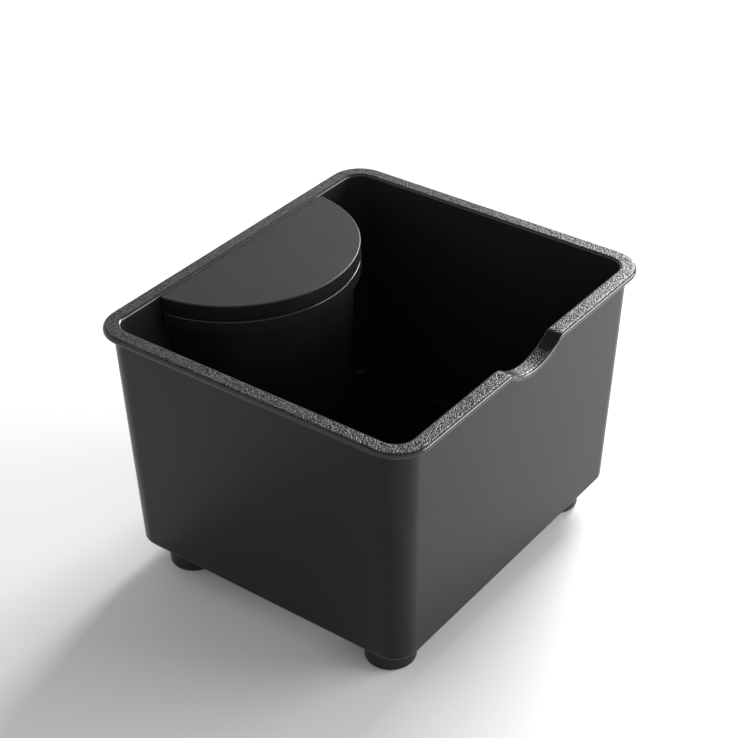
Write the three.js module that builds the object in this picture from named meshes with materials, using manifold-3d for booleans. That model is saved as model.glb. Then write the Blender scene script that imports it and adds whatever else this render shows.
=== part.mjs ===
// Espresso knock box: an open moulded bin with a rubber knock pad on a half-round column.
// Millimetres, +Z up. The feet stand on z = 0, x and y are zero in the middle of the bin,
// the handle notch is in the front wall (-Y) and the knock pad is against the back wall (+Y).
import * as THREE from 'three';
import { mergeVertices } from 'three/addons/utils/BufferGeometryUtils.js';
import Module from 'manifold-3d';

const wasm = await Module();
wasm.setup();

// ---- driving dimensions ----
const LENGTH = 175; // outside of the rim along X
const WIDTH = 155; // outside of the rim along Y
const BODY_HEIGHT = 107.4; // underside of the floor to the top of the rim
const FLOOR_Z = 14; // underside of the floor above the table
const RIM_WIDTH = 7.2; // flat top of the rim, outer edge to inner edge
const RIM_OVERHANG = 4; // how far the rim stands out from the wall
const RIM_THICKNESS = 2.5;
const RIM_RADIUS = 15; // outer corner of the rim, seen from above
const RIM_EDGE = 0.6; // broken outer edge of the rim
const DRAFT = 3.7; // how far each wall leans in between the rim and the floor
const FLOOR_THICKNESS = 3;
const FLOOR_EDGE = 1.4; // broken edge between the walls and the underside
const NOTCH_RADIUS = 28; // round dip for the neck of the portafilter handle
const NOTCH_DEPTH = 6.4;
const NOTCH_FILLET = 5; // convex rounding where the dip meets the level rim
const PAD_RADIUS = 53.2; // half-round knock pad, seen from above
const PAD_CENTRE_Y = 74;
const PAD_DROP = 0.3; // the top of the pad lies this far below the rim
const PAD_PLATE = 7; // thickness of the pad over the column
const PAD_BEVEL = 0.9; // broken top edge of the pad
const PLUG_DEPTH = 12; // block under the plate that fills the mouth of the column
const COLLAR_RADIUS = 53.8; // band round the mouth of the column
const COLLAR_HEIGHT = 6;
const COLUMN_TOP_RADIUS = 50.3; // column just below the collar
const COLUMN_BOTTOM_RADIUS = 47.3;
const COLUMN_WALL = 2.8;
const COLUMN_FLOOR = 3;
const COLUMN_CORNER = 2; // rounding of the column's two back edges
const BACK_GAP = 0.5; // column and pad to the back wall
const RIB_X = 13; // two ribs inside the column carry the pad
const RIB_THICKNESS = 2.4;
const FOOT_RADIUS = 10.7;
const FOOT_INSET = 17.5; // foot axis to the outside of the wall at the floor
const FOOT_EDGE = 1.2;
const FOOT_BOSS_RADIUS = 5;
const FOOT_BOSS_HEIGHT = 7.6;
const SEAT_DEPTH = 3.4; // recess in the foot for its washer and screw head
const SEAT_RADIUS = 5.8;
const COLUMN_BOSS_RADIUS = 4.5;
const COLUMN_BOSS_HEIGHT = 8;
const COLUMN_SCREWS = { left: [-26, 50], right: [26, 50], front: [0, 36] };
const SCREW_RADIUS = 1.6;
const HEAD_RADIUS = 3.4;
const HEAD_HEIGHT = 1.6;
const PILOT_RADIUS = 1.9; // blind holes in the bosses
const THROUGH_RADIUS = 2.3; // holes in the column floor and the feet
const WASHER_RADIUS = 5.2;
const WASHER_HOLE = 2;
const WASHER_THICKNESS = 0.8;
const GAP = 0.3; // clearance between pieces that touch

// ---- sizes worked out from them ----
const WALL = RIM_WIDTH - RIM_OVERHANG;
const RIM_TOP = FLOOR_Z + BODY_HEIGHT;
const FLOOR_TOP = FLOOR_Z + FLOOR_THICKNESS;
const PAD_TOP = RIM_TOP - PAD_DROP;
const COLUMN_TOP = PAD_TOP - PAD_PLATE - GAP;
const COLLAR_BOTTOM = COLUMN_TOP - COLLAR_HEIGHT;
const PLUG_BOTTOM = COLUMN_TOP - PLUG_DEPTH;
const COLUMN_BASE = FLOOR_TOP + GAP;
const FOOT_X = LENGTH / 2 - RIM_OVERHANG - DRAFT - FOOT_INSET;
const FOOT_Y = WIDTH / 2 - RIM_OVERHANG - DRAFT - FOOT_INSET;

const black_abs = { color: '#2c2c2e', roughness: 0.5, metalness: 0 };
const grey_rubber = { color: '#414142', roughness: 0.85, metalness: 0 };
const black_rubber = { color: '#161617', roughness: 0.7, metalness: 0 };
const zinc_steel = { color: '#b4b6b8', roughness: 0.35, metalness: 1 };

const group = new THREE.Group();

function add_part(name, geometry, finish) {
  const mesh = new THREE.Mesh(geometry, new THREE.MeshStandardMaterial(finish));
  mesh.name = name;
  group.add(mesh);
  return mesh;
}

// ---- solids ----
function to_solid(geometry) {
  const bare = geometry.clone();
  bare.deleteAttribute('normal');
  bare.deleteAttribute('uv');
  const merged = mergeVertices(bare, 1e-5);
  const vertProperties = new Float32Array(merged.attributes.position.array);
  const triVerts = new Uint32Array(merged.index.array);
  return new wasm.Manifold(new wasm.Mesh({ numProp: 3, vertProperties, triVerts }));
}

function to_geometry(solid) {
  const mesh = solid.getMesh();
  const geometry = new THREE.BufferGeometry();
  geometry.setAttribute('position', new THREE.BufferAttribute(mesh.vertProperties, 3));
  geometry.setIndex(new THREE.BufferAttribute(mesh.triVerts, 1));
  geometry.computeVertexNormals();
  return geometry;
}

// a closed body through a row of outlines that all have the same number of points
function loft(outlines) {
  const count = outlines[0].length;
  const positions = [];
  const index = [];
  for (const outline of outlines) {
    for (const point of outline) positions.push(point.x, point.y, point.z);
  }
  for (let ring = 0; ring < outlines.length - 1; ring += 1) {
    for (let i = 0; i < count; i += 1) {
      const a = ring * count + i;
      const b = ring * count + ((i + 1) % count);
      index.push(a, b, b + count, a, b + count, a + count);
    }
  }
  const last = (outlines.length - 1) * count;
  for (let i = 1; i < count - 1; i += 1) {
    index.push(0, i + 1, i);
    index.push(last, last + i, last + i + 1);
  }
  const geometry = new THREE.BufferGeometry();
  geometry.setAttribute('position', new THREE.Float32BufferAttribute(positions, 3));
  geometry.setIndex(index);
  geometry.computeVertexNormals();
  return geometry;
}

// an upright cylinder between two heights
function post(radius, low, high, x, y, sides = 24) {
  const geometry = new THREE.CylinderGeometry(radius, radius, high - low, sides);
  geometry.rotateX(Math.PI / 2);
  geometry.translate(x, y, (low + high) / 2);
  return to_solid(geometry);
}

// a turned piece with its axis along Z, from [radius, height] pairs
function turned(profile, sides) {
  const points = profile.map(([radius, height]) => new THREE.Vector2(radius, height));
  const geometry = new THREE.LatheGeometry(points, sides);
  geometry.rotateX(Math.PI / 2);
  return geometry;
}

function add_arc(points, x, y, radius, from, to, steps) {
  for (let i = 0; i <= steps; i += 1) {
    const angle = from + ((to - from) * i) / steps;
    points.push(new THREE.Vector2(x + radius * Math.cos(angle), y + radius * Math.sin(angle)));
  }
}

// ---- bin ----
const notch_centre = NOTCH_RADIUS - NOTCH_DEPTH; // centre of the dip above the rim
const notch_end = Math.sqrt((NOTCH_RADIUS + NOTCH_FILLET) ** 2 - (notch_centre + NOTCH_FILLET) ** 2);
const notch_tangent = (notch_end * NOTCH_RADIUS) / (NOTCH_RADIUS + NOTCH_FILLET);

// depth of the rim below its level part, at a place along the front wall
function notch_dip(x) {
  const across = Math.abs(x);
  if (across >= notch_end) return 0;
  if (across > notch_tangent) {
    return NOTCH_FILLET - Math.sqrt(NOTCH_FILLET ** 2 - (notch_end - across) ** 2);
  }
  return Math.sqrt(NOTCH_RADIUS ** 2 - across ** 2) - notch_centre;
}

function notch_places() {
  const places = [];
  const fillet_steps = 3;
  const dip_steps = 12;
  for (let i = 0; i < fillet_steps; i += 1) {
    places.push(-notch_end + ((notch_end - notch_tangent) * i) / fillet_steps);
  }
  for (let i = 0; i <= dip_steps; i += 1) {
    places.push(-notch_tangent + (2 * notch_tangent * i) / dip_steps);
  }
  for (let i = 1; i <= fillet_steps; i += 1) {
    places.push(notch_tangent + ((notch_end - notch_tangent) * i) / fillet_steps);
  }
  return places;
}

// rounded rectangle, inset from the outside of the rim; its front side can follow the notch
function bin_outline({ inset, radius, z, dips = false, leans = false }) {
  const half_x = LENGTH / 2 - inset;
  const half_y = WIDTH / 2 - inset;
  const x = half_x - radius;
  const y = half_y - radius;
  const corners = [[x, -y, -0.5], [x, y, 0], [-x, y, 0.5], [-x, -y, 1]];
  const plan = [];
  for (const [cx, cy, turn] of corners) {
    add_arc(plan, cx, cy, radius, turn * Math.PI, (turn + 0.5) * Math.PI, 6);
  }
  const outline = plan.map((point) => new THREE.Vector3(point.x, point.y, z));
  for (const place of notch_places()) {
    const dip = dips ? notch_dip(place) : 0;
    const lean = leans ? (DRAFT * dip) / BODY_HEIGHT : 0;
    outline.push(new THREE.Vector3(place, lean - half_y, z - dip));
  }
  return outline;
}

function make_bin() {
  const wall_radius = RIM_RADIUS - RIM_OVERHANG;
  const inner_radius = RIM_RADIUS - RIM_WIDTH;
  const foot_of_wall = RIM_OVERHANG + DRAFT;
  const rim_bottom = RIM_TOP - RIM_THICKNESS;
  const shell = to_solid(loft([
    bin_outline({ inset: foot_of_wall + FLOOR_EDGE, radius: wall_radius - FLOOR_EDGE, z: FLOOR_Z }),
    bin_outline({ inset: foot_of_wall, radius: wall_radius, z: FLOOR_Z + FLOOR_EDGE }),
    bin_outline({ inset: RIM_OVERHANG, radius: wall_radius, z: rim_bottom, dips: true, leans: true }),
    bin_outline({ inset: 0, radius: RIM_RADIUS, z: rim_bottom, dips: true }),
    bin_outline({ inset: 0, radius: RIM_RADIUS, z: RIM_TOP - RIM_EDGE, dips: true }),
    bin_outline({ inset: RIM_EDGE, radius: RIM_RADIUS - RIM_EDGE, z: RIM_TOP, dips: true }),
    bin_outline({ inset: RIM_WIDTH, radius: inner_radius, z: RIM_TOP, dips: true, leans: true }),
    bin_outline({ inset: foot_of_wall + WALL, radius: inner_radius, z: FLOOR_TOP }),
  ]));
  let bin = shell;
  for (const [x, y] of foot_places()) {
    const low = FLOOR_Z - FOOT_BOSS_HEIGHT;
    bin = bin.add(post(FOOT_BOSS_RADIUS, low, FLOOR_Z + 1, x, y));
    bin = bin.subtract(post(PILOT_RADIUS, low - 1, FLOOR_Z - 0.5, x, y, 12));
  }
  for (const [x, y] of Object.values(COLUMN_SCREWS)) {
    const low = FLOOR_Z - COLUMN_BOSS_HEIGHT;
    bin = bin.add(post(COLUMN_BOSS_RADIUS, low, FLOOR_Z + 1, x, y));
    bin = bin.subtract(post(PILOT_RADIUS, low + 1.5, FLOOR_TOP + 1, x, y, 12));
  }
  return to_geometry(bin);
}

function foot_places() {
  return [[-FOOT_X, -FOOT_Y], [FOOT_X, -FOOT_Y], [-FOOT_X, FOOT_Y], [FOOT_X, FOOT_Y]];
}

add_part('bin_body', make_bin(), black_abs);

// ---- column and pad ----
// inner face of the back wall at a height
function back_wall(z) {
  return WIDTH / 2 - RIM_WIDTH - (DRAFT * (RIM_TOP - z)) / (RIM_TOP - FLOOR_TOP);
}

// half-round outline: an arc closed by a straight back with two rounded corners
function half_round({ radius, back, z, corner = COLUMN_CORNER }) {
  const centre = PAD_CENTRE_Y;
  const corner_y = back - corner;
  const corner_x = Math.sqrt((radius - corner) ** 2 - (corner_y - centre) ** 2);
  const tilt = Math.atan2(corner_y - centre, corner_x);
  const plan = [];
  add_arc(plan, corner_x, corner_y, corner, tilt, Math.PI / 2, 3);
  add_arc(plan, -corner_x, corner_y, corner, Math.PI / 2, Math.PI - tilt, 3);
  const arc = [];
  add_arc(arc, 0, centre, radius, Math.PI - tilt, 2 * Math.PI + tilt, 36);
  plan.push(...arc.slice(1, -1));
  return plan.map((point) => new THREE.Vector3(point.x, point.y, z));
}

// radius of the column between its base and its collar
function column_radius(z) {
  const up = (z - COLUMN_BASE) / (COLLAR_BOTTOM - COLUMN_BASE);
  return COLUMN_BOTTOM_RADIUS + (COLUMN_TOP_RADIUS - COLUMN_BOTTOM_RADIUS) * up;
}

// outline inset from the outside of the column, at a height
function column_outline(z, inset = 0) {
  return half_round({ radius: column_radius(z) - inset, back: back_wall(z) - BACK_GAP - inset, z });
}

function make_column() {
  const collar = (z, inset) => half_round({
    radius: COLLAR_RADIUS - inset,
    back: back_wall(z) - BACK_GAP,
    z,
  });
  const shell = to_solid(loft([
    column_outline(COLUMN_BASE),
    column_outline(COLLAR_BOTTOM),
    collar(COLLAR_BOTTOM, 0),
    collar(COLUMN_TOP - 0.4, 0),
    collar(COLUMN_TOP, 0.4),
    column_outline(COLUMN_TOP, COLUMN_WALL),
    column_outline(COLUMN_BASE + COLUMN_FLOOR, COLUMN_WALL),
  ]));
  const rib_top = PLUG_BOTTOM - GAP;
  const inside = to_solid(loft([column_outline(COLUMN_BASE, 1), column_outline(rib_top, 1)]));
  let column = shell;
  for (const x of [-RIB_X, RIB_X]) {
    const rib = new THREE.BoxGeometry(RIB_THICKNESS, WIDTH, BODY_HEIGHT);
    rib.translate(x, 0, rib_top - BODY_HEIGHT / 2);
    column = column.add(to_solid(rib).intersect(inside));
  }
  for (const [x, y] of Object.values(COLUMN_SCREWS)) {
    column = column.subtract(post(THROUGH_RADIUS, FLOOR_Z, COLUMN_BASE + COLUMN_FLOOR + 1, x, y, 16));
  }
  return to_geometry(column);
}

function make_pad() {
  const plate_bottom = PAD_TOP - PAD_PLATE;
  const back = back_wall(PAD_TOP) - BACK_GAP;
  const fit = COLUMN_WALL + GAP;
  return loft([
    column_outline(PLUG_BOTTOM, fit + 0.1),
    column_outline(plate_bottom, fit),
    half_round({ radius: PAD_RADIUS, back: back_wall(plate_bottom) - BACK_GAP, z: plate_bottom }),
    half_round({ radius: PAD_RADIUS, back, z: PAD_TOP - PAD_BEVEL }),
    half_round({ radius: PAD_RADIUS - PAD_BEVEL, back: back - PAD_BEVEL, z: PAD_TOP }),
  ]);
}

add_part('knock_column', make_column(), black_abs);
add_part('knock_pad', make_pad(), grey_rubber);

// ---- feet and fasteners ----
function make_foot() {
  const top = FLOOR_Z - GAP;
  const pocket_bottom = FLOOR_Z - FOOT_BOSS_HEIGHT - GAP;
  const pocket_radius = FOOT_BOSS_RADIUS + GAP;
  return turned([
    [THROUGH_RADIUS, SEAT_DEPTH],
    [SEAT_RADIUS, SEAT_DEPTH],
    [SEAT_RADIUS, 0],
    [FOOT_RADIUS - FOOT_EDGE, 0],
    [FOOT_RADIUS - FOOT_EDGE * 0.3, FOOT_EDGE * 0.3],
    [FOOT_RADIUS, FOOT_EDGE],
    [FOOT_RADIUS, top],
    [pocket_radius, top],
    [pocket_radius, pocket_bottom],
    [THROUGH_RADIUS, pocket_bottom],
    [THROUGH_RADIUS, SEAT_DEPTH],
  ], 28);
}

function make_washer() {
  return turned([
    [WASHER_HOLE, 0],
    [WASHER_RADIUS, 0],
    [WASHER_RADIUS, WASHER_THICKNESS],
    [WASHER_HOLE, WASHER_THICKNESS],
    [WASHER_HOLE, 0],
  ], 20);
}

// pan-head screw: the underside of the head is at z = 0 and the shank points up
function make_screw(shank) {
  return turned([
    [0, -HEAD_HEIGHT],
    [HEAD_RADIUS * 0.6, -HEAD_HEIGHT],
    [HEAD_RADIUS, -HEAD_HEIGHT * 0.45],
    [HEAD_RADIUS, 0],
    [SCREW_RADIUS, 0],
    [SCREW_RADIUS, shank - 2],
    [SCREW_RADIUS * 0.4, shank],
    [0, shank],
  ], 16);
}

const foot_names = ['front_left', 'front_right', 'back_left', 'back_right'];
const foot_washer_z = SEAT_DEPTH - GAP - WASHER_THICKNESS;
const foot_shank = FLOOR_Z - 2 - (foot_washer_z - GAP);
foot_places().forEach(([x, y], i) => {
  const foot = add_part(`foot_${foot_names[i]}`, make_foot(), black_rubber);
  foot.position.set(x, y, 0);
  const washer = add_part(`foot_washer_${foot_names[i]}`, make_washer(), zinc_steel);
  washer.position.set(x, y, foot_washer_z);
  const screw = add_part(`foot_screw_${foot_names[i]}`, make_screw(foot_shank), zinc_steel);
  screw.position.set(x, y, foot_washer_z - GAP);
});

const column_washer_z = COLUMN_BASE + COLUMN_FLOOR + GAP;
const column_head_z = column_washer_z + WASHER_THICKNESS + GAP;
const column_shank = column_head_z - (FLOOR_Z - COLUMN_BOSS_HEIGHT + 3);
for (const [side, [x, y]] of Object.entries(COLUMN_SCREWS)) {
  const washer = add_part(`column_washer_${side}`, make_washer(), zinc_steel);
  washer.position.set(x, y, column_washer_z);
  const screw = add_part(`column_screw_${side}`, make_screw(column_shank), zinc_steel);
  screw.rotation.x = Math.PI;
  screw.position.set(x, y, column_head_z);
}

export default group;
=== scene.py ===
import math

import bmesh
import bpy
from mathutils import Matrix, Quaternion, Vector


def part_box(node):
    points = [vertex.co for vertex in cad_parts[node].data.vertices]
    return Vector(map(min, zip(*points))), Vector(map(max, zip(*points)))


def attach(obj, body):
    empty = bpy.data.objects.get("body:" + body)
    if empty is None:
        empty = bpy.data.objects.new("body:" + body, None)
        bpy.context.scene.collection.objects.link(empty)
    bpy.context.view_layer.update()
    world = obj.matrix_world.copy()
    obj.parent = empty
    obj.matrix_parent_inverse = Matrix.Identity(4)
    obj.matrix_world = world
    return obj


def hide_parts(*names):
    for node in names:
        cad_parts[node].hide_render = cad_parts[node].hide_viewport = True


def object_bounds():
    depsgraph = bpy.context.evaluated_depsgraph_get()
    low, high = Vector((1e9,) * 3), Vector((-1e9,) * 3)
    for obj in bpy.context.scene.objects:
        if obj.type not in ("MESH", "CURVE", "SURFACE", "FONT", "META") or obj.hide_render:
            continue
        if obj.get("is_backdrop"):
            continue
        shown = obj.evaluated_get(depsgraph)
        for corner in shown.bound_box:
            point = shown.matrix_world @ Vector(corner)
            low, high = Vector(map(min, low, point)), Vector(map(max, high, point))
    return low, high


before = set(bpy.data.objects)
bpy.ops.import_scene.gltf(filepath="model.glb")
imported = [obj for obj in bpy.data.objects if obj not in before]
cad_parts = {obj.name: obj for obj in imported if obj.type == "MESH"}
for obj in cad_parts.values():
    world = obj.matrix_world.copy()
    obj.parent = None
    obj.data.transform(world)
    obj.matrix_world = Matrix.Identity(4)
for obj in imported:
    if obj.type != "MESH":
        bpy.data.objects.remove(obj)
cad_low, cad_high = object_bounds()


# ---- Bin ----
# The bin is one injection moulding in black ABS, open at the top, with drafted walls and a rim
# that stands out all round. The steel of its mould was eroded to a fine satin outside, etched to
# a pebble grain on top of the rim, and polished for the inside. Blind bosses hang under its floor.

rim_top = cad_high.z
half_length = cad_high.x
half_width = cad_high.y
gap = 0.0003  # clearance between neighbouring pieces
floor_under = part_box("foot_front_left")[1].z + gap
rim_width = 0.0072
rim_overhang = 0.004
rim_thickness = 0.0025
rim_radius = 0.015
rim_bottom = rim_top - rim_thickness
wall_draft = 0.0037
wall_thickness = rim_width - rim_overhang
floor_thickness = 0.003
floor_top = floor_under + floor_thickness
outer_x = half_length - rim_overhang
outer_y = half_width - rim_overhang
inner_x = half_length - rim_width
inner_y = half_width - rim_width
nose_top_round = 0.0015
nose_bottom_round = 0.0006
inner_round = 0.0011
under_rim_fillet = 0.0010
bottom_round = 0.0018
inside_floor_round = 0.0030
polish_start = floor_top + 0.004  # the inside is polished above this height
notch_radius = 0.028
notch_depth = 0.0064
notch_fillet = 0.005
notch_reach = 0.020  # the front wall is divided this far each side of the middle
notch_spacing = 0.0011  # width of the strips that the dip is bent from
strip_margin = 0.004  # how far the strips run in past the foot of the front wall's inside
flank_margin = 0.0005
flank_drop = 0.0004
flank_rise = (0.5, 0.93)  # a flank's normal rises by more and by less than these
flank_turn = 0.36  # and turns sideways by more than this
level_rise = 0.85  # a face whose normal rises by more than this counts as the top
feet = ["front_left", "front_right", "back_left", "back_right"]
column_screws = ["left", "right", "front"]
foot_boss_radius = 0.005
foot_boss_height = 0.0076
column_boss_radius = 0.0045
column_boss_height = 0.008
pilot_radius = 0.0019
pilot_roof = 0.0005  # plastic left between a foot's pilot hole and the floor's underside
column_pilot_end = 0.0015  # plastic left under a column screw's pilot hole
gate_radius = 0.006
gate_depth = 0.0006
gate_nub_radius = 0.0012
gate_nub_drop = 0.0001
overlap = 0.001  # how far a tool runs past the face that it joins or cuts
tiny = 1e-5
steep_angle = math.radians(50)
square_angle = math.radians(60)
smooth_angle = math.radians(35)


def open_mesh(piece):
    bpy.ops.object.select_all(action="DESELECT")
    piece.select_set(True)
    bpy.context.view_layer.objects.active = piece
    bpy.ops.object.mode_set(mode="EDIT")


def close_mesh():
    bpy.ops.object.mode_set(mode="OBJECT")


def choose(kind, wanted):
    """In the open mesh, selects the verts, edges or faces that wanted() accepts, and no others."""
    bpy.ops.mesh.select_mode(type={"verts": "VERT", "edges": "EDGE", "faces": "FACE"}[kind])
    bpy.ops.mesh.select_all(action="DESELECT")
    mesh = bpy.context.object.data
    shape = bmesh.from_edit_mesh(mesh)
    for item in getattr(shape, kind):
        if wanted(item):
            item.select_set(True)
    shape.select_flush_mode()
    bmesh.update_edit_mesh(mesh)


def all_at(item, height):
    return all(abs(vert.co.z - height) < tiny for vert in item.verts)


def sharp_edge_at(height):
    """Accepts an edge that lies level at that height between two faces that meet steeply."""

    def wanted(edge):
        steep = len(edge.link_faces) == 2 and edge.calc_face_angle() > steep_angle
        return steep and all_at(edge, height)

    return wanted


def flat_face_at(height, up):
    """Accepts a level face at that height: up is 1 if it faces up, and -1 if it faces down."""

    def wanted(face):
        return all_at(face, height) and face.normal.z * up > 0.9

    return wanted


def round_edges(wanted, width, segments):
    choose("edges", wanted)
    bpy.ops.mesh.bevel(offset=width, segments=segments, profile=0.5, affect="EDGES")


def extrude_to(distance):
    move = {"value": (0, 0, distance)}
    bpy.ops.mesh.extrude_region_move(TRANSFORM_OT_translate=move)


def add_primitive(adder, name, location, **settings):
    """Adds a primitive, with its place moved into its mesh so that its object stays at the origin."""
    bpy.ops.object.select_all(action="DESELECT")
    adder(location=location, **settings)
    piece = bpy.context.object
    piece.name = name
    piece.data.name = name
    bpy.ops.object.transform_apply(location=True, rotation=True, scale=True)
    return piece


def upright(name, radius, low, high, x, y, vertices=48):
    """An upright cylinder between two heights."""
    return add_primitive(bpy.ops.mesh.primitive_cylinder_add, name, (x, y, (low + high) / 2),
                         vertices=vertices, radius=radius, depth=high - low)


def apply_modifier(piece, kind, **settings):
    bpy.ops.object.select_all(action="DESELECT")
    piece.select_set(True)
    bpy.context.view_layer.objects.active = piece
    modifier = piece.modifiers.new(kind.lower(), kind)
    for key, value in settings.items():
        setattr(modifier, key, value)
    bpy.ops.object.modifier_apply(modifier=modifier.name)


def combine(piece, tool, how):
    """Joins a tool to a piece, cuts it away or keeps what they share, then drops the tool."""
    apply_modifier(piece, "BOOLEAN", object=tool, operation=how, solver="EXACT")
    bpy.data.objects.remove(tool)


def finish_mesh(piece):
    """Merges doubles, faces everything outwards, smooths all but sharp edges and evens the shading."""
    open_mesh(piece)
    bpy.ops.mesh.select_all(action="SELECT")
    bpy.ops.mesh.remove_doubles(threshold=tiny)
    bpy.ops.mesh.dissolve_degenerate(threshold=tiny / 10)
    bpy.ops.mesh.normals_make_consistent(inside=False)
    close_mesh()
    bpy.ops.object.shade_smooth_by_angle(angle=smooth_angle)
    apply_modifier(piece, "WEIGHTED_NORMAL", keep_sharp=True)


def centre_of(node):
    low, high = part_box(node)
    return (low.x + high.x) / 2, (low.y + high.y) / 2


def lean_in(half_x, half_y):
    """Draws what is selected in by the draft of the walls, from these half sizes."""
    lean = ((half_x - wall_draft) / half_x, (half_y - wall_draft) / half_y, 1)
    bpy.ops.transform.resize(value=lean, center_override=(0, 0, 0))


def notch_dip(x):
    """How far the rim dips at that distance from the middle of the front wall."""
    centre = notch_radius - notch_depth
    end = math.sqrt((notch_radius + notch_fillet) ** 2 - (centre + notch_fillet) ** 2)
    tangent = end * notch_radius / (notch_radius + notch_fillet)
    across = abs(x)
    if across >= end:
        return 0.0
    if across > tangent:
        return notch_fillet - math.sqrt(notch_fillet**2 - (end - across) ** 2)
    return math.sqrt(notch_radius**2 - across**2) - centre


def make_bin():
    bin_ = add_primitive(bpy.ops.mesh.primitive_plane_add, "bin", (0, 0, rim_top), size=1)
    open_mesh(bin_)
    bpy.ops.mesh.select_all(action="SELECT")
    bpy.ops.transform.resize(value=(2 * half_length, 2 * half_width, 1))
    bpy.ops.mesh.bevel(offset=rim_radius, segments=18, profile=0.5, affect="VERTICES")
    # the rim, a slab with a rounded nose
    choose("faces", lambda face: True)
    extrude_to(-rim_thickness)
    bpy.ops.mesh.select_all(action="SELECT")
    bpy.ops.mesh.normals_make_consistent(inside=False)
    round_edges(sharp_edge_at(rim_top), nose_top_round, 8)
    round_edges(sharp_edge_at(rim_bottom), nose_bottom_round, 4)
    # the walls, drawn down from under the rim and leaning in
    choose("faces", flat_face_at(rim_bottom, -1))
    bpy.ops.mesh.inset(thickness=rim_overhang - nose_bottom_round, use_even_offset=True)
    extrude_to(floor_under - rim_bottom)
    lean_in(outer_x, outer_y)
    round_edges(sharp_edge_at(rim_bottom), under_rim_fillet, 4)
    round_edges(sharp_edge_at(floor_under), bottom_round, 5)
    # the cavity, sunk from the top of the rim
    choose("faces", flat_face_at(rim_top, 1))
    bpy.ops.mesh.inset(thickness=rim_width - nose_top_round, use_even_offset=True)
    extrude_to(floor_top - rim_top)
    lean_in(inner_x, inner_y)
    round_edges(sharp_edge_at(rim_top), inner_round, 6)
    round_edges(sharp_edge_at(floor_top), inside_floor_round, 5)
    close_mesh()
    return bin_


def bend_notch(bin_):
    """Divides the front strips of the rim and walls and lowers them to the dip."""
    open_mesh(bin_)
    count = round(notch_reach / notch_spacing)
    places = [notch_reach * step / count for step in range(-count, count + 1)]
    straight = half_length - rim_radius + tiny
    behind_wall = outer_y - wall_draft - wall_thickness - strip_margin

    def front_strip(face):
        middle = face.calc_center_median()
        return middle.y < -behind_wall and all(abs(vert.co.x) < straight for vert in face.verts)

    for place in places:
        choose("faces", front_strip)
        bpy.ops.mesh.bisect(plane_co=(place, 0, 0), plane_no=(1, 0, 0))
    lowest = rim_bottom - under_rim_fillet - tiny
    slope = wall_draft / (rim_bottom - floor_under)
    for place in places:

        def front_column(vert):
            return abs(vert.co.x - place) < tiny and vert.co.z > lowest and vert.co.y < -behind_wall

        choose("verts", front_column)
        dip = notch_dip(place)
        bpy.ops.transform.translate(value=(0, dip * slope, -dip))
    close_mesh()


def linear(hex_colour):
    """Linear RGBA of an sRGB hex colour."""
    parts = [int(hex_colour[i:i + 2], 16) / 255 for i in (1, 3, 5)]
    return [c / 12.92 if c <= 0.04045 else ((c + 0.055) / 1.055) ** 2.4 for c in parts] + [1.0]


def wire(tree, node, inputs):
    """Fills a node's inputs: each takes a value or another node's output."""
    for key, value in inputs.items():
        if isinstance(value, bpy.types.NodeSocket):
            tree.links.new(value, node.inputs[key])
        else:
            node.inputs[key].default_value = value


def add_node(tree, kind, inputs, **settings):
    """Adds a node with its settings and links."""
    node = tree.nodes.new(kind)
    for key, value in settings.items():
        setattr(node, key, value)
    wire(tree, node, inputs)
    return node


def new_material(name):
    """A new material, its node tree, its shader and the place on the object in metres."""
    material = bpy.data.materials.new(name)
    material.use_nodes = True
    tree = material.node_tree
    place = add_node(tree, "ShaderNodeTexCoord", {}).outputs["Object"]
    return material, tree, tree.nodes["Principled BSDF"], place


def give_material(piece, material, wanted=None):
    """Gives a material to the whole of a piece, or to the faces that wanted() accepts."""
    slots = piece.data.materials
    if material.name not in slots:
        slots.append(material)
    if wanted:
        open_mesh(piece)
        choose("faces", wanted)
        piece.active_material_index = slots.find(material.name)
        bpy.ops.object.material_slot_assign()
        close_mesh()


def satin_abs():
    """ABS, injection moulded against spark-eroded steel: an even black satin that blurs what it
    mirrors, with faint clouds where the melt flowed."""
    material, tree, shader, place = new_material("satin_abs")
    # flow marks about 30 mm apart
    clouds = add_node(tree, "ShaderNodeTexNoise", {"Vector": place, "Scale": 1 / 0.030, "Detail": 2.0})
    # eroded grit, really about 0.05 mm, drawn at 0.45 mm so that it shows
    grit = add_node(tree, "ShaderNodeTexNoise", {"Vector": place, "Scale": 1 / 0.00045, "Detail": 2.0})
    # on a Mix node for colours, input 0 is the factor, 6 and 7 are the colours, and output 2 the blend
    colour = add_node(tree, "ShaderNodeMix",
                      {0: clouds.outputs["Fac"], 6: linear("#101011"), 7: linear("#141415")},
                      data_type="RGBA")
    rough = add_node(tree, "ShaderNodeMapRange",
                     {"Value": clouds.outputs["Fac"], "To Min": 0.30, "To Max": 0.36})
    bump = add_node(tree, "ShaderNodeBump",
                    {"Height": grit.outputs["Fac"], "Strength": 0.25, "Distance": 0.00003})
    wire(tree, shader, {"Base Color": colour.outputs[2], "Roughness": rough.outputs["Result"],
                        "Normal": bump.outputs["Normal"], "IOR": 1.32})
    return material


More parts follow.
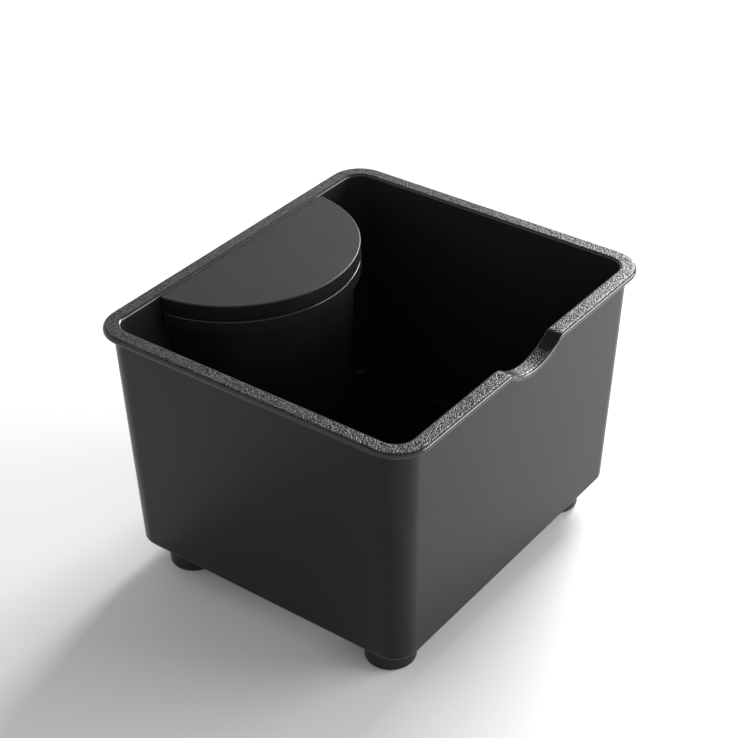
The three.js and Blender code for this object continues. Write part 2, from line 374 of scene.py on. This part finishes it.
def pebbled_abs():
    """ABS, injection moulded against acid-etched steel: rounded pebbles with glossy tops that
    sparkle, with painted shade in the hollows between them and a painted sheen on the tops."""
    material, tree, shader, place = new_material("pebbled_abs")
    # pebbles, really 0.4 to 0.5 mm across, drawn at 0.64 mm so that each one shows
    pebbles = add_node(tree, "ShaderNodeTexNoise",
                       {"Vector": place, "Scale": 1 / 0.00064, "Detail": 1.0, "Roughness": 0.6})
    # flattens the tops and the hollows
    height = add_node(tree, "ShaderNodeMapRange",
                      {"Value": pebbles.outputs["Fac"], "From Min": 0.38, "From Max": 0.62},
                      interpolation_type="SMOOTHSTEP")
    # painted shade and sheen: near-black colour in the hollows, lighter colour on the pebble tops
    colour = add_node(tree, "ShaderNodeMix",
                      {0: height.outputs["Result"], 6: linear("#020203"), 7: linear("#222223")},
                      data_type="RGBA")
    # painted shade: the reflection is turned down in the hollows, as if they held less light
    gloss = add_node(tree, "ShaderNodeMapRange",
                     {"Value": height.outputs["Result"], "To Min": 0.12, "To Max": 0.84})
    bump = add_node(tree, "ShaderNodeBump",
                    {"Height": height.outputs["Result"], "Strength": 1.0, "Distance": 0.00008})
    wire(tree, shader, {"Base Color": colour.outputs[2], "Specular IOR Level": gloss.outputs["Result"],
                        "Normal": bump.outputs["Normal"], "Roughness": 0.30, "IOR": 1.50})
    return material


def polished_abs():
    """ABS, injection moulded against polished steel: nearly a gloss, with sharp white lines where an
    edge turns to the light, dulled in patches by washing."""
    material, tree, shader, place = new_material("polished_abs")
    # patches of wear about 18 mm wide, with scratches inside them
    wear = add_node(tree, "ShaderNodeTexNoise", {"Vector": place, "Scale": 1 / 0.018, "Detail": 5.0})
    colour = add_node(tree, "ShaderNodeMix",
                      {0: wear.outputs["Fac"], 6: linear("#202021"), 7: linear("#262627")},
                      data_type="RGBA")
    rough = add_node(tree, "ShaderNodeMapRange",
                     {"Value": wear.outputs["Fac"], "To Min": 0.10, "To Max": 0.18})
    wire(tree, shader, {"Base Color": colour.outputs[2], "Roughness": rough.outputs["Result"],
                        "IOR": 1.46})
    return material


def pebbled_face(face):
    """The top of the rim, and the first third of its rounded edges."""
    return face.normal.z > level_rise and face.calc_center_median().z > rim_top - nose_top_round


def polished_face(face):
    """The inside above its lowest few millimetres, and the rounded edges of the rim."""
    middle = face.calc_center_median()
    inwards = face.normal.x * middle.x + face.normal.y * middle.y < -tiny
    on_edge = rim_bottom + tiny < middle.z < rim_top - tiny and face.normal.z < level_rise
    return inwards and middle.z > polish_start or on_edge


def notch_flank(face):
    """The steep flanks of the notch, which the etching left out."""
    middle = face.calc_center_median()
    in_notch = middle.z < rim_top - flank_drop and abs(middle.x) < notch_reach + flank_margin
    on_front_rim = middle.y < inner_round - inner_y
    steep = flank_rise[0] < face.normal.z < flank_rise[1] and abs(face.normal.x) > flank_turn
    return in_notch and on_front_rim and steep


bin_piece = make_bin()
satin = satin_abs()
give_material(bin_piece, satin)
give_material(bin_piece, pebbled_abs(), pebbled_face)
give_material(bin_piece, polished_abs(), polished_face)
bend_notch(bin_piece)
give_material(bin_piece, satin, notch_flank)
for side in feet:
    x, y = centre_of("foot_" + side)
    low = floor_under - foot_boss_height
    boss = upright("boss", foot_boss_radius, low, floor_under + overlap, x, y)
    combine(bin_piece, boss, "UNION")
    pilot = upright("pilot", pilot_radius, low - overlap, floor_under - pilot_roof, x, y)
    combine(bin_piece, pilot, "DIFFERENCE")
for side in column_screws:
    x, y = centre_of("column_screw_" + side)
    low = floor_under - column_boss_height
    boss = upright("boss", column_boss_radius, low, floor_under + overlap, x, y)
    combine(bin_piece, boss, "UNION")
    pilot = upright("pilot", pilot_radius, low + column_pilot_end, floor_top + overlap, x, y)
    combine(bin_piece, pilot, "DIFFERENCE")
# the gate that the mould was filled through leaves a shallow round dimple with a nub in it
gate = upright("gate", gate_radius, floor_under - overlap, floor_under + gate_depth, 0, 0)
combine(bin_piece, gate, "DIFFERENCE")
nub = upright("nub", gate_nub_radius, floor_under + gate_nub_drop, floor_under + overlap, 0, 0)
combine(bin_piece, nub, "UNION")
finish_mesh(bin_piece)
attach(bin_piece, "bin")
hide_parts("bin_body")


# ---- Knock column ----
# A half-round hollow moulding in the same ABS stands on the floor against the back wall and takes
# the blows. It has a collar round its mouth, two ribs under the pad and a floor that is screwed
# down from inside.

column_base, column_top = (corner.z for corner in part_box("knock_column"))
pad_centre_y = 0.074
collar_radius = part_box("knock_column")[1].x
collar_height = 0.006
collar_round = 0.0006
collar_bottom = column_top - collar_height
collar_nearer = 0.0002  # the collar is this much nearer the back wall than the column
column_bottom_radius = 0.0473
column_top_radius = 0.0503
column_wall = 0.0028
column_floor = 0.003
column_corner = 0.002
column_edge = 0.0004
back_gap = 0.0005
rib_x = 0.013
rib_thickness = 0.0024
rib_stock = (rib_thickness, 0.3, 0.1)  # block that a rib is cut from
plug_depth = 0.012
through_radius = 0.0023


def back_wall(z):
    """Inner face of the bin's back wall at a height."""
    return inner_y - wall_draft * (rim_top - z) / (rim_top - floor_top)


def column_radius(z):
    up = (z - column_base) / (collar_bottom - column_base)
    return column_bottom_radius + (column_top_radius - column_bottom_radius) * up


def half_round(name, low, high, radius_low, radius_high, inset=0.0):
    """A half-round block between two heights, whose back follows the back wall, inset from it."""
    block = add_primitive(bpy.ops.mesh.primitive_cylinder_add, name,
                          (0, pad_centre_y, (low + high) / 2),
                          vertices=180, radius=radius_low, depth=high - low)
    open_mesh(block)
    choose("faces", flat_face_at(high, 1))
    grow = radius_high / radius_low
    bpy.ops.transform.resize(value=(grow, grow, 1), center_override=(0, pad_centre_y, high))
    back_low = back_wall(low) - back_gap - inset
    back_high = back_wall(high) - back_gap - inset
    foot_of_back = Vector((0, back_low, low))
    slope = Vector((0, high - low, back_low - back_high)).normalized()
    bpy.ops.mesh.select_all(action="SELECT")
    bpy.ops.mesh.bisect(plane_co=foot_of_back, plane_no=slope, use_fill=True, clear_outer=True)

    def back_corner(edge):
        on_back = all(abs((vert.co - foot_of_back).dot(slope)) < tiny for vert in edge.verts)
        return on_back and abs(edge.verts[0].co.z - edge.verts[1].co.z) > tiny

    round_edges(back_corner, column_corner, 6)
    close_mesh()
    return block


def column_block(name, low, high, inset=0.0):
    return half_round(name, low, high, column_radius(low) - inset, column_radius(high) - inset, inset)


def make_column():
    column = column_block("column", column_base, column_top - overlap)
    collar = half_round("collar", collar_bottom, column_top, collar_radius, collar_radius,
                        -collar_nearer)
    open_mesh(collar)
    round_edges(sharp_edge_at(column_top), collar_round, 5)
    close_mesh()
    combine(column, collar, "UNION")
    plate_top = column_base + column_floor
    combine(column, column_block("cavity", plate_top, column_top + overlap, column_wall), "DIFFERENCE")
    rib_top = column_top - plug_depth - gap
    for x in (-rib_x, rib_x):
        rib_middle = (x, 0, rib_top - rib_stock[2] / 2)
        rib = add_primitive(bpy.ops.mesh.primitive_cube_add, "rib", rib_middle, size=1)
        open_mesh(rib)
        bpy.ops.mesh.select_all(action="SELECT")
        bpy.ops.transform.resize(value=rib_stock)
        close_mesh()
        inside = column_block("inside", column_base + overlap, column_top, overlap)
        combine(rib, inside, "INTERSECT")
        combine(column, rib, "UNION")
    for side in column_screws:
        x, y = centre_of("column_screw_" + side)
        hole = upright("hole", through_radius, column_base - overlap, plate_top + overlap, x, y)
        combine(column, hole, "DIFFERENCE")
    apply_modifier(column, "BEVEL", width=column_edge, segments=3, limit_method="ANGLE",
                   angle_limit=steep_angle)
    return column


def column_abs():
    """ABS, injection moulded against stoned steel: a low gloss, a little duller than the bin's
    inside, with patches rubbed by grounds and washing."""
    material, tree, shader, place = new_material("column_abs")
    # rubbed patches about 12 mm wide
    wear = add_node(tree, "ShaderNodeTexNoise", {"Vector": place, "Scale": 1 / 0.012, "Detail": 4.0})
    colour = add_node(tree, "ShaderNodeMix",
                      {0: wear.outputs["Fac"], 6: linear("#1c1c1d"), 7: linear("#222223")},
                      data_type="RGBA")
    rough = add_node(tree, "ShaderNodeMapRange",
                     {"Value": wear.outputs["Fac"], "To Min": 0.14, "To Max": 0.24})
    wire(tree, shader, {"Base Color": colour.outputs[2], "Roughness": rough.outputs["Result"],
                        "IOR": 1.53})
    return material


column_piece = make_column()
give_material(column_piece, column_abs())
finish_mesh(column_piece)
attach(column_piece, "bin")
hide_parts("knock_column")


# ---- Knock pad ----
# The pad is one block of dark grey rubber, compression moulded: a half-round plate that the
# portafilter is knocked on, over a plug that fills the column's mouth and grips it with two lips.

pad_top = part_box("knock_pad")[1].z
pad_radius = 0.0532
pad_plate = 0.007
pad_bevel = 0.0005
plate_bottom = pad_top - pad_plate
plug_fit = column_wall + gap
lip_proud = 0.0002
lip_height = 0.0012
lip_drops = (0.0030, 0.0080)  # top of each lip below the plate
pad_edge = 0.00008


def make_pad():
    pad = half_round("pad", plate_bottom, pad_top, pad_radius, pad_radius)
    open_mesh(pad)
    round_edges(sharp_edge_at(pad_top), pad_bevel, 4)
    close_mesh()
    plug = column_block("plug", column_top - plug_depth, plate_bottom + overlap, plug_fit)
    combine(pad, plug, "UNION")
    for drop in lip_drops:
        high = plate_bottom - drop
        lip = column_block("lip", high - lip_height, high, plug_fit - lip_proud)
        combine(pad, lip, "UNION")
    apply_modifier(pad, "BEVEL", width=pad_edge, segments=2, limit_method="ANGLE",
                   angle_limit=square_angle)
    return pad


def grey_rubber():
    """Nitrile rubber, compression moulded against a blasted mould: a dry matt grey on top and
    nearly black on its side, with a faint bloom in patches."""
    material, tree, shader, place = new_material("grey_rubber")
    # patches of bloom about 14 mm wide
    bloom = add_node(tree, "ShaderNodeTexNoise", {"Vector": place, "Scale": 1 / 0.014, "Detail": 4.0})
    # blasted grain, really about 0.1 mm, drawn at 0.4 mm so that it shows
    grain = add_node(tree, "ShaderNodeTexNoise", {"Vector": place, "Scale": 1 / 0.0004, "Detail": 2.0})
    colour = add_node(tree, "ShaderNodeMix",
                      {0: bloom.outputs["Fac"], 6: linear("#0b0b0c"), 7: linear("#131314")},
                      data_type="RGBA")
    rough = add_node(tree, "ShaderNodeMapRange",
                     {"Value": bloom.outputs["Fac"], "To Min": 0.36, "To Max": 0.44})
    bump = add_node(tree, "ShaderNodeBump",
                    {"Height": grain.outputs["Fac"], "Strength": 0.3, "Distance": 0.00004})
    wire(tree, shader, {"Base Color": colour.outputs[2], "Roughness": rough.outputs["Result"],
                        "Normal": bump.outputs["Normal"], "IOR": 1.45})
    return material


pad_piece = make_pad()
give_material(pad_piece, grey_rubber())
finish_mesh(pad_piece)
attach(pad_piece, "pad")
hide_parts("knock_pad")


# ---- Feet ----
# Four black rubber feet, moulded as sleeves that push over the bosses under the floor. A groove
# in the sole helps them grip, and a recess in its middle takes the washer and the screw.

foot_radius = 0.0107
foot_sole_round = 0.0012
foot_top_round = 0.0005
foot_edge = 0.00015
seat_radius = 0.0058
seat_depth = 0.0034
groove_inner = 0.0070
groove_outer = 0.0084
groove_depth = 0.0004


def make_foot(name, x, y, top):
    foot = upright(name, foot_radius, 0, top, x, y, 72)
    open_mesh(foot)
    round_edges(sharp_edge_at(0), foot_sole_round, 5)
    round_edges(sharp_edge_at(top), foot_top_round, 3)
    # the groove in the sole
    choose("faces", flat_face_at(0, -1))
    bpy.ops.mesh.inset(thickness=foot_radius - foot_sole_round - groove_outer)
    bpy.ops.mesh.inset(thickness=groove_outer - groove_inner)

    def groove_face(face):
        away = math.dist(face.calc_center_median()[:2], (x, y))
        ring = len(face.verts) == 4 and groove_inner < away < groove_outer
        return ring and flat_face_at(0, -1)(face)

    choose("faces", groove_face)
    extrude_to(groove_depth)
    close_mesh()
    pocket_bottom = floor_under - foot_boss_height - gap
    pocket = upright("pocket", foot_boss_radius + gap, pocket_bottom, top + overlap, x, y)
    combine(foot, pocket, "DIFFERENCE")
    combine(foot, upright("seat", seat_radius, -overlap, seat_depth, x, y), "DIFFERENCE")
    combine(foot, upright("hole", through_radius, 0, pocket_bottom + overlap, x, y), "DIFFERENCE")
    apply_modifier(foot, "BEVEL", width=foot_edge, segments=2, limit_method="ANGLE",
                   angle_limit=square_angle)
    return foot


def black_rubber():
    """SBR rubber, compression moulded against turned steel: a soft black with a faint oily sheen
    that comes and goes."""
    material, tree, shader, place = new_material("black_rubber")
    # patches of sheen about 6 mm wide
    sheen = add_node(tree, "ShaderNodeTexNoise", {"Vector": place, "Scale": 1 / 0.006, "Detail": 3.0})
    colour = add_node(tree, "ShaderNodeMix",
                      {0: sheen.outputs["Fac"], 6: linear("#0b0b0b"), 7: linear("#121212")},
                      data_type="RGBA")
    rough = add_node(tree, "ShaderNodeMapRange",
                     {"Value": sheen.outputs["Fac"], "To Min": 0.40, "To Max": 0.55})
    wire(tree, shader, {"Base Color": colour.outputs[2], "Roughness": rough.outputs["Result"],
                        "IOR": 1.40})
    return material


def copy_to(piece, name, x, y):
    """A copy of a piece with a mesh of its own, moved across to another place."""
    twin = piece.copy()
    twin.data = piece.data.copy()
    twin.name = name
    bpy.context.collection.objects.link(twin)
    bpy.ops.object.select_all(action="DESELECT")
    twin.select_set(True)
    bpy.context.view_layer.objects.active = twin
    bpy.ops.transform.translate(value=(x, y, 0))
    bpy.ops.object.transform_apply(location=True, rotation=False, scale=False)
    return twin


first_x, first_y = centre_of("foot_front_left")
foot_model = make_foot("foot_model", first_x, first_y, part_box("foot_front_left")[1].z)
give_material(foot_model, black_rubber())
finish_mesh(foot_model)
for side in feet:
    x, y = centre_of("foot_" + side)
    foot = copy_to(foot_model, "rubber_foot_" + side, x - first_x, y - first_y)
    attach(foot, "bin")
    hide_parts("foot_" + side)
bpy.data.objects.remove(foot_model)


# ---- Washers and screws ----
# Plain steel washers spread the load under pan-head self-tapping screws with a cross recess. Both
# are zinc plated. Four of each hold the feet, and three hold the column to the floor.

washer_radius = 0.0052
washer_hole = 0.0020
washer_thickness = 0.0008
washer_edge = 0.00012
screw_radius = 0.0016
head_radius = 0.0034
head_height = 0.0016
head_round = 0.0011
recess_length = 1.1 * head_radius
recess_width = 0.0008
recess_depth = 0.0010


def make_washer(name):
    """A washer at the origin, lying on z = 0."""
    washer = upright(name, washer_radius, 0, washer_thickness, 0, 0, 64)
    hole = upright("hole", washer_hole, -overlap, washer_thickness + overlap, 0, 0)
    combine(washer, hole, "DIFFERENCE")
    apply_modifier(washer, "BEVEL", width=washer_edge, segments=2, limit_method="ANGLE",
                   angle_limit=square_angle)
    return washer


def make_screw(name, shank_length):
    """A screw at the origin, with the underside of its head at z = 0 and its shank below."""
    screw = upright(name, head_radius, 0, head_height, 0, 0, 48)
    open_mesh(screw)
    round_edges(sharp_edge_at(head_height), head_round, 6)
    close_mesh()
    crown = (0, 0, head_height)
    for turn in (0, math.pi / 2):
        slot = add_primitive(bpy.ops.mesh.primitive_cube_add, "slot", crown, size=1)
        open_mesh(slot)
        bpy.ops.mesh.select_all(action="SELECT")
        bpy.ops.transform.resize(value=(recess_length, recess_width, 2 * recess_depth),
                                 center_override=crown)
        bpy.ops.transform.rotate(value=turn, orient_axis="Z", center_override=crown)
        close_mesh()
        combine(screw, slot, "DIFFERENCE")
    shank = upright("shank", screw_radius, -shank_length, head_height / 4, 0, 0, 32)
    combine(screw, shank, "UNION")
    return screw


def zinc_plate():
    """Steel, electroplated with bright zinc: a pale metal with a slight blue cast, softly dulled
    in specks."""
    material, tree, shader, place = new_material("zinc_plate")
    # dull specks, finer than this on real plating, drawn at 1.1 mm so that they show
    specks = add_node(tree, "ShaderNodeTexNoise", {"Vector": place, "Scale": 1 / 0.0011, "Detail": 2.0})
    colour = add_node(tree, "ShaderNodeMix",
                      {0: specks.outputs["Fac"], 6: linear("#b4b8bd"), 7: linear("#cfd2d4")},
                      data_type="RGBA")
    rough = add_node(tree, "ShaderNodeMapRange",
                     {"Value": specks.outputs["Fac"], "To Min": 0.24, "To Max": 0.38})
    wire(tree, shader, {"Base Color": colour.outputs[2], "Roughness": rough.outputs["Result"],
                        "Metallic": 1.0})
    return material


def place_fastener(piece, node, flip):
    """Puts a copy of a washer or screw where its CAD node is, turned over if it is driven upwards."""
    x, y = centre_of(node)
    twin = copy_to(piece, "zinc_" + node, 0, 0)
    open_mesh(twin)
    bpy.ops.mesh.select_all(action="SELECT")
    if flip:
        bpy.ops.transform.rotate(value=math.pi, orient_axis="X", center_override=(0, 0, 0))
    lowest = min(vert.co.z for vert in bmesh.from_edit_mesh(twin.data).verts)
    bpy.ops.transform.translate(value=(x, y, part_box(node)[0].z - lowest))
    close_mesh()
    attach(twin, "bin")
    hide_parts(node)


zinc = zinc_plate()
washer_model = make_washer("washer_model")
give_material(washer_model, zinc)
finish_mesh(washer_model)
for group, sides in (("foot", feet), ("column", column_screws)):
    low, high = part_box(f"{group}_screw_{sides[0]}")
    screw_model = make_screw("screw_model", high.z - low.z - head_height)
    give_material(screw_model, zinc)
    finish_mesh(screw_model)
    for side in sides:
        place_fastener(washer_model, f"{group}_washer_{side}", False)
        place_fastener(screw_model, f"{group}_screw_{side}", group == "foot")
    bpy.data.objects.remove(screw_model)
bpy.data.objects.remove(washer_model)


# ---- Studio ----
# The bin stands on a plain pale floor under a white surround that dims overhead. A soft box at its
# right side lights the rim, and a low one off its front right corner draws the edges.

floor_size = 12
floor_drop = 0.0002
floor_grey = 0.9
floor_roughness = 0.9
surround_level = 1.15
surround_overhead = 0.15
light_aim = (0, 0, 0.09)
camera_place = (-0.5068, -0.3768, 0.5065)
camera_azimuth = math.radians(-53.09)
camera_elevation = math.radians(33.76)
camera_roll = math.radians(-0.63)
camera_lens = 88.87
camera_sensor = 36

bpy.ops.object.select_all(action="DESELECT")
bpy.ops.mesh.primitive_plane_add(size=floor_size, location=(0, 0, -floor_drop))
floor = bpy.context.object
floor.name = "studio_floor"
floor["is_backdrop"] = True
floor_paint = bpy.data.materials.new("pale_floor")
floor_paint.use_nodes = True
paint_tree = floor_paint.node_tree
wire(paint_tree, paint_tree.nodes["Principled BSDF"],
     {"Base Color": (floor_grey, floor_grey, floor_grey, 1), "Roughness": floor_roughness})
floor.data.materials.append(floor_paint)


def soft_box(name, place, width, height, radiance):
    """An area light that faces the middle of the bin, as bright as a surface of that radiance."""
    light = bpy.data.lights.new(name, "AREA")
    light.shape = "RECTANGLE"
    light.size = width
    light.size_y = height
    light.energy = radiance * math.pi * width * height
    lamp = bpy.data.objects.new(name, light)
    bpy.context.scene.collection.objects.link(lamp)
    lamp.location = place
    lamp.rotation_euler = (Vector(light_aim) - Vector(place)).to_track_quat("-Z", "Y").to_euler()


soft_box("front_strip", place=(0.82, -0.96, 0.30), width=1.1, height=0.40, radiance=13)
soft_box("side_box", place=(1.15, 0.13, 0.70), width=0.50, height=0.6, radiance=25)

world = bpy.data.worlds.new("studio")
world.use_nodes = True
world_tree = world.node_tree
direction = add_node(world_tree, "ShaderNodeTexCoord", {})
axes = add_node(world_tree, "ShaderNodeSeparateXYZ", {0: direction.outputs["Generated"]})
level = add_node(world_tree, "ShaderNodeMapRange",
                 {"Value": axes.outputs["Z"], "To Min": surround_level, "To Max": surround_overhead})
wire(world_tree, world_tree.nodes["Background"],
     {"Color": (1, 1, 1, 1), "Strength": level.outputs["Result"]})
bpy.context.scene.world = world
bpy.context.scene.view_settings.view_transform = "Standard"

look = Vector((-math.sin(camera_azimuth) * math.cos(camera_elevation),
               math.cos(camera_azimuth) * math.cos(camera_elevation), -math.sin(camera_elevation)))
camera = bpy.data.objects.new("camera", bpy.data.cameras.new("camera"))
bpy.context.scene.collection.objects.link(camera)
camera.location = camera_place
camera.rotation_mode = "QUATERNION"
camera.rotation_quaternion = look.to_track_quat("-Z", "Y") @ Quaternion((0, 0, 1), camera_roll)
camera.data.sensor_width = camera_sensor
camera.data.lens = camera_lens
bpy.context.scene.camera = camera

low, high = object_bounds()
